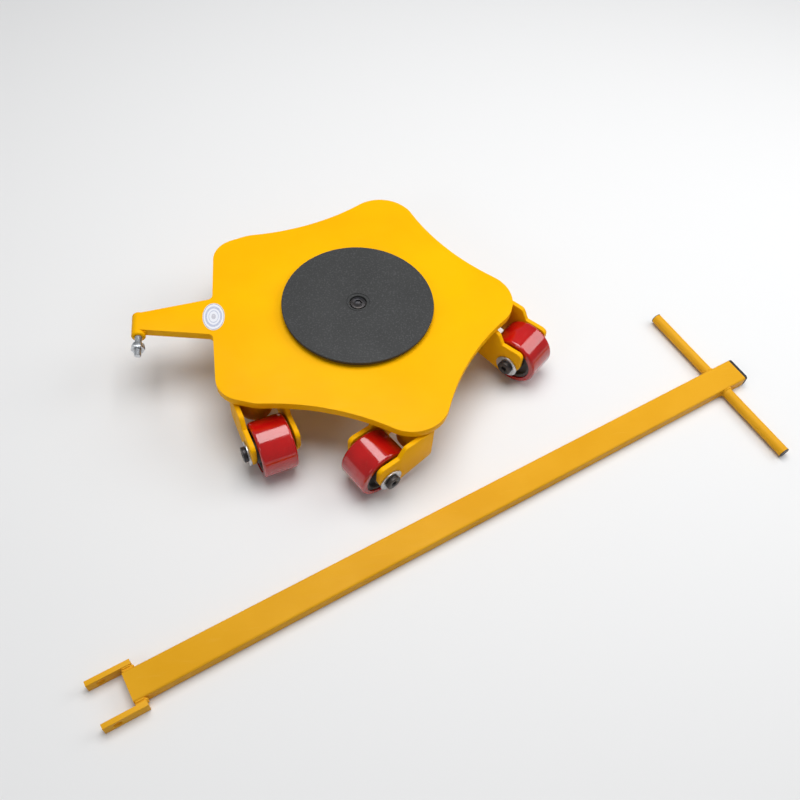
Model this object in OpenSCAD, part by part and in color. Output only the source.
// Rotating load skate: a five-lobed steel deck on five swivelling twin-cheek
// casters, with a free-turning load pad on top, a tow lug with a cross pin, and
// a loose T-bar pull handle that lies on the floor beside it.
// Millimetres, +Z up. The origin is on the floor, on the load pad's turning axis.
// The tow lug points along -X.

/* [Deck] */
// Height of the deck's top face above the tops of the wheels
deck_over_wheel = 28; // [26:1:40]
// Thickness of the deck plate
deck_t = 12; // [10:1:14]
// Distance from the deck's centre to each lobe's centre
lobe_dist = 176; // [170:1:185]
// Radius of each lobe
lobe_r = 54; // [48:1:60]
// Radius of the hollow between two lobes
valley_r = 350; // [300:5:400]
// Radius of the two corners beside the tow lug
corner_r = 40; // [32:1:46]

/* [Tow lug] */
// Distance from each lobe's centre to the level of the lug's root
lug_root_out = 32; // [30:1:40]
// Half width of the lug at its root
lug_root_half = 33; // [26:1:40]
// Half width of the lug at the cross tube
lug_tip_half = 15; // [10:1:18]
// Length of the lug from its root to the cross tube's axis
lug_len = 104; // [80:1:120]
// Outer diameter of the cross tube
lug_tube_d = 20; // [18:1:24]
// Length of the cross tube
lug_tube_len = 40; // [36:1:46]
// Radius of the fillet beside the lug's root
lug_fillet_r = 8; // [4:1:16]
// Length of the oval label across the lug's root
label_len = 50; // [40:1:54]
// Width of the oval label
label_w = 31; // [24:1:36]

/* [Tow pin] */
// Thread diameter of the tow pin
tow_pin_d = 10; // [8:1:12]
// Length of the tow pin
tow_pin_len = 72; // [70:1:80]
// Gap between the cross tube and the tow nut
tow_nut_gap = 14; // [6:1:16]

/* [Turntable] */
// Diameter of the load pad
pad_d = 220; // [190:2:240]
// Thickness of the load pad
pad_t = 5; // [4:1:8]
// Thickness of the plate under the pad
turn_plate_t = 4; // [3:1:6]
// Gap between the deck and the turning plate
turn_gap = 1.5; // [1:0.5:3]
// Diameter of the well in the middle of the pad
well_d = 28; // [26:1:36]

/* [Casters] */
// Distance from each lobe's centre outwards to its kingpin
kingpin_out = 18; // [16:1:21]
// Distance from the kingpin's axis to the wheel's rim
trail_gap = 30; // [29:1:31]
// Diameter of each wheel
wheel_d = 80; // [76:1:82]
// Width of each wheel's tread
tread_w = 50; // [44:1:52]
// Thickness of the tread
tread_t = 8; // [6:1:10]
// Thickness of each fork cheek
cheek_t = 7; // [6:1:8]
// Clearance between the wheel's hub and each cheek
cheek_gap = 1; // [0.8:0.1:2]
// Diameter of the wheel's axle bolt
axle_d = 12; // [10:1:12]

/* [Pull handle] */
// Length of the pull tube
pull_len = 985; // [900:5:1100]
// Width of the pull tube
pull_w = 40; // [36:1:44]
// Height of the pull tube
pull_h = 20; // [16:1:24]
// Wall of the pull tube
pull_wall = 2; // [1.5:0.5:3]
// Clear gap between the two fork ears
ear_gap = 50; // [50:1:56]
// Thickness of each fork ear
ear_t = 6.5; // [5:0.5:8]
// Length of each fork ear
ear_len = 56; // [50:1:70]
// Overlap of each ear and the pull tube
ear_lap = 14; // [10:1:25]
// Diameter of the T-bar
t_bar_d = 16; // [14:1:18]
// Length of the T-bar
t_bar_len = 290; // [240:5:320]
// Distance from the tube's end to the T-bar
t_bar_inset = 37; // [30:1:60]

/* [Hidden] */

$fn = 72;
eps = 0.01;
lobe_step = 72;
deck_top = wheel_d + deck_over_wheel;
deck_bottom = deck_top - deck_t;
running_gap = 0.1;
seat_gap = 0.02;
joint_gap = 0.3;
corner_y = 0.625 * lobe_dist;

// Caster yaw: the way each wheel trails, in degrees from +X, and the side its axle bolt's head is on
caster_yaw = [-46, -124, 12, -148, -73];
caster_head_side = [-1, 1, 1, 1, -1];
caster_at = [0, 1, 2, 4, 3];
kingpin_dist = lobe_dist + kingpin_out;
wheel_r = wheel_d / 2;
trail = wheel_r + trail_gap;
hub_w = tread_w + 4;
fork_inner = hub_w / 2 + cheek_gap;
fork_outer = fork_inner + cheek_t;

// Fork and swivel
crown_top = deck_bottom - 4;
crown_t = 7;
crown_back = -22;
crown_front = 20;
cheek_back = -4;
cheek_shoulder_x = trail - 25;
cheek_step_x = trail - 15;
cheek_step_z = crown_top - 17;
cheek_tip_x = trail + 20;
cheek_tip_z = wheel_r + 8;
cheek_chin_x = trail + 11;
cheek_chin_z = wheel_r - 17;
cheek_sole_x = trail - 13;
cheek_sole_z = wheel_r - 20.5;
cheek_heel_z = wheel_r - 7;
housing_r = 24;
housing_bottom = wheel_r;
kingpin_r = 8;
kingpin_flange_r = 17;
kingpin_flange_t = 2;
bearing_r = 20;
nut_af_factor = 1 / cos(30);
kingpin_nut_af = 24;
kingpin_nut_t = 10;
nut_pocket_r = 16;
nut_pocket_h = 14;
kingpin_bottom = housing_bottom + 2;

// Axle
axle_r = axle_d / 2;
axle_head_r = 11;
axle_head_h = 6;
axle_washer_r = 17.5;
axle_washer_t = 2.5;
axle_chamfer = 1;
hex_key = 8;
wheel_bearing_r = 14;
wheel_bearing_w = 8;
core_hub_r = 18;
core_recess = 8;

// Turntable
turn_plate_z = deck_top + turn_gap;
pad_z = turn_plate_z + turn_plate_t;
turn_bearing_inner = 30;
turn_bearing_outer = 52;
turn_bearing_recess = 4;
pivot_r = 8;
pivot_head_r = 11;
pivot_head_t = pad_t - 1;
pivot_nut_af = 24;
pivot_nut_t = 10;

// Tow lug
lug_root_x = lobe_dist + lug_root_out;
lug_tube_x = lug_root_x + lug_len;
lug_tube_z = deck_top - lug_tube_d / 2;
lug_tube_back = lug_tube_len / 2 - 2;
lug_tube_front = -lug_tube_len / 2 - 2;
lug_tube_round = 3;
tow_r = tow_pin_d / 2;
tow_bore_r = tow_r + 0.5;
tow_nut_af = 17;
tow_nut_t = 8;
label_t = 0.4;

// Pull handle: the way it points, and where the tube's fork end lies along and beside that way
pull_yaw = 23.2;
pull_start = -489.7;
pull_side = kingpin_dist + 127;
eye_inset = 17;
eye_r = tow_r + 0.5;
plug_t = 4.5;
plug_depth = 16;
plug_round = 4;
t_plug_t = 1;
t_bar_wall = 2;

function polar(r, a) = [r * cos(a), r * sin(a)];
function caster_centre(i) = polar(kingpin_dist, lobe_step * caster_at[i]);
// Distance of a hollow's centre such that its arc is tangent to both lobes
valley_dist = lobe_dist * cos(lobe_step / 2)
  + sqrt(pow(lobe_r + valley_r, 2) - pow(lobe_dist * sin(lobe_step / 2), 2));
function lobe(i) = polar(lobe_dist, lobe_step * i);
function valley(i) = polar(valley_dist, lobe_step * (i + 0.5));
function touch(i, j) = lobe(i) + (valley(j) - lobe(i)) * lobe_r / (lobe_r + valley_r);

module ring(r_out, r_in, h) {
  difference() {
    cylinder(r = r_out, h = h);
    translate([0, 0, -1]) cylinder(r = r_in, h = h + 2);
  }
}

module hex(af, h) {
  cylinder(d = af * nut_af_factor, h = h, $fn = 6);
}

module hex_nut(af, h, bore_r) {
  difference() {
    intersection() {
      hex(af, h);
      cylinder(r1 = af * 0.62, r2 = af * 0.5 + 0.4, h = h);
    }
    translate([0, 0, -1]) cylinder(r = bore_r, h = h + 2);
  }
}

// Axis along Y: turns an upright piece so that its +Z points along +Y
module lay_y() {
  rotate([-90, 0, 0]) children();
}

// ---------- deck ----------
module star(h) {
  difference() {
    linear_extrude(h) polygon([
      for (i = [0:4]) each [touch(i, i - 1), lobe(i), touch(i, i)]
    ]);
    for (i = [0, 1, 3, 4]) translate(valley(i)) translate([0, 0, -1]) cylinder(r = valley_r, h = h + 2, $fn = 180);
  }
  for (i = [0:4]) translate(lobe(i)) cylinder(r = lobe_r, h = h);
}

// Centre of the front corner beside the lug
function corner(side) = [corner_r + 2 - lug_root_x, side * corner_y];

// Direction in which one straight line touches both a front lobe and the corner beside it
function tangent_angle(side) =
  let (d = corner(side) - [lobe(2)[0], side * lobe(2)[1]])
  atan2(d[1], d[0]) - side * acos((lobe_r - corner_r) / norm(d));

module front_edge(h) {
  linear_extrude(h) polygon([
    lobe(2),
    lobe(2) + polar(lobe_r, tangent_angle(1)),
    corner(1) + polar(corner_r, tangent_angle(1)),
    corner(1),
    corner(1) - [corner_r, 0],
    [-lug_root_x, lug_root_half],
    [-lug_root_x, -lug_root_half],
    corner(-1) - [corner_r, 0],
    corner(-1),
    corner(-1) + polar(corner_r, tangent_angle(-1)),
    lobe(3) + polar(lobe_r, tangent_angle(-1)),
    lobe(3),
    [0, 0]
  ]);
  for (side = [-1, 1]) translate(corner(side)) cylinder(r = corner_r, h = h);
}

module lug_arm(h) {
  linear_extrude(h) polygon([
    [-lug_root_x + 10, lug_root_half],
    [-lug_root_x, lug_root_half],
    [-lug_tube_x, lug_tip_half],
    [-lug_tube_x, -lug_tip_half],
    [-lug_root_x, -lug_root_half],
    [-lug_root_x + 10, -lug_root_half]
  ]);
}

// Concave fillet between the deck's straight edge and the lug's side
module root_fillet(side, h) {
  arm_lean = atan((lug_root_half - lug_tip_half) / (lug_tube_x - lug_root_x));
  reach = lug_fillet_r * tan((90 - arm_lean) / 2);
  x0 = -lug_root_x;
  y0 = side * lug_root_half;
  linear_extrude(h) difference() {
    polygon([
      [x0 + 4, y0 - side * 4],
      [x0 + 4, y0 + side * reach],
      [x0, y0 + side * reach],
      [x0 - reach * cos(arm_lean), y0 - side * reach * sin(arm_lean)],
      [x0 - reach * cos(arm_lean), y0 - side * reach * sin(arm_lean) - side * 4]
    ]);
    translate([x0 - lug_fillet_r, y0 + side * reach]) circle(r = lug_fillet_r);
  }
}

module deck_plate() {
  color("gold") translate([0, 0, deck_bottom]) difference() {
    union() {
      star(deck_t);
      front_edge(deck_t);
      lug_arm(deck_t);
      for (side = [-1, 1]) root_fillet(side, deck_t);
    }
    translate([0, 0, deck_t - turn_bearing_recess])
      ring(turn_bearing_outer + joint_gap, turn_bearing_inner - joint_gap, turn_bearing_recess + 1);
    translate([0, 0, -1]) cylinder(r = pivot_r, h = deck_t + 2);
    for (i = [0:4]) translate(polar(kingpin_dist, lobe_step * i)) translate([0, 0, -1])
      cylinder(r = kingpin_r, h = deck_t);
    translate([-lug_tube_x, 0, lug_tube_z - deck_bottom]) lay_y()
      cylinder(r = lug_tube_d / 2, h = lug_tube_len + 10, center = true);
  }
}

// Cross tube with rounded outer edges
module tow_tube() {
  straight = lug_tube_len - 2 * lug_tube_round;
  color("gold") translate([-lug_tube_x, lug_tube_front, lug_tube_z]) lay_y() difference() {
    rotate_extrude() {
      square([lug_tube_d / 2 - lug_tube_round, lug_tube_len]);
      translate([0, lug_tube_round]) square([lug_tube_d / 2, straight]);
      for (z = [0, straight]) translate([lug_tube_d / 2 - lug_tube_round, z + lug_tube_round])
        circle(r = lug_tube_round, $fn = 48);
    }
    translate([0, 0, -1]) cylinder(r = tow_bore_r, h = lug_tube_len + 2);
  }
}

module lug_label() {
  color("white") translate([1.5 - lug_root_x, -1, deck_top]) linear_extrude(label_t)
    polygon([for (a = [0:5:355]) [label_w / 2 * cos(a), label_len / 2 * sin(a)]]);
}

// ---------- tow pin: a headless threaded pin that slides in the cross tube, with its nut ----------
tow_pin_back = lug_tube_back - 1;
tow_nut_y = lug_tube_front - tow_nut_gap;

module tow_pin() {
  color("silver") translate([-lug_tube_x, tow_pin_back - tow_pin_len, lug_tube_z]) lay_y() {
    cylinder(r1 = tow_r - 1, r2 = tow_r, h = 1);
    translate([0, 0, 1]) cylinder(r = tow_r, h = tow_pin_len - 2);
    translate([0, 0, tow_pin_len - 1]) cylinder(r1 = tow_r, r2 = tow_r - 1, h = 1);
  }
}

module tow_nut() {
  color("silver") translate([-lug_tube_x, tow_nut_y - tow_nut_t, lug_tube_z]) lay_y() hex_nut(tow_nut_af, tow_nut_t, tow_r);
}

// ---------- turntable ----------
module turntable_bearing() {
  color("dimgray") translate([0, 0, deck_top - turn_bearing_recess])
    ring(turn_bearing_outer, turn_bearing_inner, turn_bearing_recess + turn_gap - running_gap);
}

module turntable_plate() {
  color("dimgray") translate([0, 0, turn_plate_z]) ring(pad_d / 2 - 3, pivot_r + running_gap, turn_plate_t);
}

module load_pad() {
  color([0.26, 0.26, 0.27]) translate([0, 0, pad_z]) difference() {
    union() {
      cylinder(d = pad_d, h = pad_t - 1);
      translate([0, 0, pad_t - 1]) cylinder(d1 = pad_d, d2 = pad_d - 2, h = 1);
    }
    translate([0, 0, -1]) cylinder(d = well_d, h = pad_t + 2);
  }
}

module pivot_screw() {
  color("dimgray") difference() {
    union() {
      translate([0, 0, deck_bottom - pivot_nut_t - 3]) cylinder(r = pivot_r, h = pad_z + 0.2 - deck_bottom + pivot_nut_t + 3);
      translate([0, 0, pad_z + 0.2]) cylinder(r = pivot_head_r, h = pivot_head_t);
    }
    translate([0, 0, pad_z + 0.2 + pivot_head_t - 3]) hex(hex_key + 2, 4);
  }
}

module pivot_nut() {
  color("silver") translate([0, 0, deck_bottom - pivot_nut_t]) hex_nut(pivot_nut_af, pivot_nut_t, pivot_r);
}

// ---------- swivels ----------
module at_kingpins() {
  for (i = [0:4]) translate(polar(kingpin_dist, lobe_step * i)) children();
}

module kingpins() {
  color("dimgray") at_kingpins() {
    translate([0, 0, kingpin_bottom]) cylinder(r = kingpin_r, h = deck_top - 1 - kingpin_bottom);
    translate([0, 0, deck_bottom - kingpin_flange_t]) cylinder(r = kingpin_flange_r, h = kingpin_flange_t);
  }
}

module kingpin_nuts() {
  color("silver") at_kingpins() translate([0, 0, kingpin_bottom + 1]) hex_nut(kingpin_nut_af, kingpin_nut_t, kingpin_r);
}

module thrust_bearings() {
  color("silver") at_kingpins() translate([0, 0, crown_top + joint_gap])
    ring(bearing_r, kingpin_r + seat_gap, deck_bottom - kingpin_flange_t - crown_top - joint_gap);
}

// ---------- one caster, in its own frame: kingpin at the origin, trailing along +X ----------
module place_caster(i) {
  translate(caster_centre(i)) rotate(caster_yaw[i]) children();
}

// Corners of a cheek in its own plane, each with its rounding radius
cheek_corners = [
  [cheek_back, crown_top, 0],
  [cheek_shoulder_x, crown_top, 8],
  [cheek_step_x, cheek_step_z, 0],
  [cheek_tip_x, cheek_step_z + 1, 9],
  [cheek_tip_x, cheek_tip_z, 9],
  [cheek_chin_x, cheek_chin_z, 9],
  [cheek_sole_x, cheek_sole_z, 9],
  [cheek_back, cheek_heel_z, 6]
];

function flat(c) = [c[0], c[1]];
function unit(v) = v / norm(v);
function around(k) = cheek_corners[(k + len(cheek_corners)) % len(cheek_corners)];
function back_way(k) = unit(flat(around(k - 1)) - flat(around(k)));
function on_way(k) = unit(flat(around(k + 1)) - flat(around(k)));
function half_turn(k) = acos(back_way(k) * on_way(k)) / 2;
function cut(k) = around(k)[2] / tan(half_turn(k));
function rounding_centre(k) =
  flat(around(k)) + unit(back_way(k) + on_way(k)) * around(k)[2] / sin(half_turn(k));

module cheek_outline() {
  polygon([
    for (k = [0:len(cheek_corners) - 1]) each [
      flat(around(k)) + back_way(k) * cut(k),
      flat(around(k)) + on_way(k) * cut(k)
    ]
  ]);
  for (k = [0:len(cheek_corners) - 1]) if (around(k)[2] > 0) translate(rounding_centre(k)) circle(r = around(k)[2]);
}

module cheeks(i) {
  color("goldenrod") place_caster(i) for (side = [-1, 1]) difference() {
    translate([0, side * (fork_inner + cheek_t / 2) + cheek_t / 2, 0])
      rotate([90, 0, 0]) linear_extrude(cheek_t) cheek_outline();
    translate([trail, side * (fork_inner + cheek_t / 2), wheel_r]) lay_y()
      cylinder(r = axle_r + seat_gap, h = cheek_t + 2, center = true);
  }
}

module crown(i) {
  half = fork_inner - seat_gap;
  color("goldenrod") place_caster(i) difference() {
    translate([crown_back, -half, crown_top - crown_t]) cube([crown_front - crown_back, 2 * half, crown_t]);
    translate([0, 0, crown_top - crown_t - 1]) cylinder(r = kingpin_r + running_gap, h = crown_t + 2);
  }
}

module swivel_housing(i) {
  color("goldenrod") place_caster(i) difference() {
    translate([0, 0, housing_bottom]) cylinder(r = housing_r, h = crown_top - crown_t - housing_bottom);
    translate([0, 0, housing_bottom - 1]) cylinder(r = kingpin_r + running_gap, h = crown_top - housing_bottom);
    translate([0, 0, housing_bottom - 1]) cylinder(r = nut_pocket_r, h = nut_pocket_h + 1);
  }
}

// Axle bolt: its head is on one side, its thread ends flush in the cheek on the other
module axle_bolt(i) {
  side = caster_head_side[i];
  color([0.15, 0.15, 0.16]) place_caster(i) translate([trail, 0, wheel_r])
    rotate([-90 * side, 0, 0]) difference() {
      union() {
        translate([0, 0, -fork_outer]) cylinder(r1 = axle_r - axle_chamfer, r2 = axle_r, h = axle_chamfer);
        translate([0, 0, axle_chamfer - fork_outer])
          cylinder(r = axle_r, h = 2 * fork_outer + axle_washer_t - axle_chamfer);
        translate([0, 0, fork_outer + axle_washer_t]) cylinder(r = axle_head_r, h = axle_head_h);
      }
      translate([0, 0, fork_outer + axle_washer_t + axle_head_h - 4]) hex(hex_key, 5);
    }
}

module axle_washers(i) {
  side = caster_head_side[i];
  color("silver") place_caster(i) translate([trail, 0, wheel_r]) rotate([-90 * side, 0, 0]) {
    translate([0, 0, fork_outer]) ring(axle_washer_r, axle_r, axle_washer_t);
    for (s = [-1, 1]) translate([0, 0, s * (fork_inner - cheek_gap / 2) - cheek_gap / 2])
      ring(axle_r + 3, axle_r, cheek_gap);
  }
}

module wheel_core(i) {
  color([0.3, 0.3, 0.32]) place_caster(i) translate([trail, 0, wheel_r]) lay_y() difference() {
    union() {
      cylinder(r = wheel_r - tread_t, h = tread_w - 4, center = true);
      cylinder(r = core_hub_r, h = hub_w - 2 * joint_gap, center = true);
    }
    for (s = [0, 1]) mirror([0, 0, s]) {
      translate([0, 0, tread_w / 2 - 2 - core_recess])
        ring(wheel_r - tread_t - 5, core_hub_r, core_recess + 5);
      translate([0, 0, hub_w / 2 - joint_gap - wheel_bearing_w]) cylinder(r = wheel_bearing_r, h = wheel_bearing_w + 1);
    }
    cylinder(r = axle_r + 2.5, h = hub_w + 2, center = true);
  }
}

module wheel_bearings(i) {
  color("silver") place_caster(i) translate([trail, 0, wheel_r]) lay_y() for (s = [0, 1]) mirror([0, 0, s])
    translate([0, 0, hub_w / 2 - joint_gap - wheel_bearing_w]) {
      ring(wheel_bearing_r, axle_r + running_gap, wheel_bearing_w);
    }
}

// Tread section: a band with rounded shoulders
module wheel_tread(i) {
  shoulder = tread_t / 2;
  color("red") place_caster(i) translate([trail, 0, wheel_r]) lay_y() rotate_extrude() {
    translate([wheel_r - tread_t, -tread_w / 2]) square([tread_t - shoulder, tread_w]);
    translate([wheel_r - shoulder, -tread_w / 2 + shoulder]) square([shoulder, tread_w - 2 * shoulder]);
    for (s = [-1, 1]) translate([wheel_r - shoulder, s * (tread_w / 2 - shoulder)]) circle(r = shoulder, $fn = 48);
  }
}

// ---------- pull handle, in its own frame: fork end at the origin, tube along +X ----------
module place_pull() {
  rotate(pull_yaw) translate([pull_start, -pull_side, 0]) children();
}

module rounded_bar(l, w, h, r) {
  for (y = [-1, 1]) for (z = [-1, 1]) translate([0, y * (w / 2 - r), z * (h / 2 - r)])
    rotate([0, 90, 0]) cylinder(r = r, h = l, $fn = 32);
  translate([0, -w / 2 + r, -h / 2]) cube([l, w - 2 * r, h]);
  translate([0, -w / 2, -h / 2 + r]) cube([l, w, h - 2 * r]);
}

module pull_tube() {
  t_x = pull_len - t_bar_inset;
  color("gold") place_pull() translate([0, 0, pull_h / 2]) difference() {
    rounded_bar(pull_len, pull_w, pull_h, 3);
    translate([pull_wall, -pull_w / 2 + pull_wall, -pull_h / 2 + pull_wall])
      cube([pull_len, pull_w - 2 * pull_wall, pull_h - 2 * pull_wall]);
    translate([t_x, 0, 0]) lay_y() cylinder(d = t_bar_d, h = pull_w + 2, center = true);
  }
}

module t_bar() {
  t_x = pull_len - t_bar_inset;
  color("gold") place_pull() translate([t_x, -t_bar_len / 2, pull_h / 2]) lay_y()
    ring(t_bar_d / 2, t_bar_d / 2 - t_bar_wall, t_bar_len);
}

module t_bar_plugs() {
  t_x = pull_len - t_bar_inset;
  color([0.12, 0.12, 0.12]) place_pull() translate([t_x, 0, pull_h / 2]) lay_y() for (s = [0, 1]) mirror([0, 0, s]) {
    translate([0, 0, t_bar_len / 2]) cylinder(d = t_bar_d, h = t_plug_t);
    translate([0, 0, t_bar_len / 2 - plug_depth]) cylinder(r = t_bar_d / 2 - t_bar_wall, h = plug_depth + eps);
  }
}

module tube_plug() {
  inner_w = pull_w - 2 * pull_wall;
  inner_h = pull_h - 2 * pull_wall;
  color([0.12, 0.12, 0.12]) place_pull() translate([pull_len, 0, pull_h / 2]) {
    rounded_bar(plug_t, pull_w, pull_h, plug_round);
    translate([-plug_depth, -inner_w / 2, -inner_h / 2]) cube([plug_depth + eps, inner_w, inner_h]);
  }
}

module fork_ears() {
  color("goldenrod") place_pull() translate([0, 0, pull_h / 2]) for (side = [-1, 1])
    translate([0, side * (ear_gap / 2 + ear_t / 2), 0]) difference() {
      translate([ear_lap - ear_len, -ear_t / 2, -pull_h / 2]) cube([ear_len, ear_t, pull_h]);
      translate([ear_lap - ear_len + eye_inset, 0, 0]) lay_y() cylinder(r = eye_r, h = ear_t + 2, center = true);
    }
}

module ear_spacers() {
  spacer_t = (ear_gap - pull_w) / 2;
  color("goldenrod") place_pull() translate([0, 0, pull_h / 2]) for (side = [-1, 1])
    translate([1, side * (pull_w / 2 + spacer_t / 2) - spacer_t / 2, -pull_h / 2 + 3]) cube([ear_lap - 1, spacer_t, pull_h - 6]);
}

deck_plate();
tow_tube();
lug_label();
kingpins();
kingpin_nuts();
thrust_bearings();
turntable_bearing();
pivot_screw();
pivot_nut();
turntable_plate();
load_pad();
tow_pin();
tow_nut();
for (i = [0:4]) {
  cheeks(i);
  crown(i);
  swivel_housing(i);
  axle_bolt(i);
  axle_washers(i);
  wheel_core(i);
  wheel_tread(i);
  wheel_bearings(i);
}
pull_tube();
fork_ears();
ear_spacers();
t_bar();
tube_plug();
t_bar_plugs();
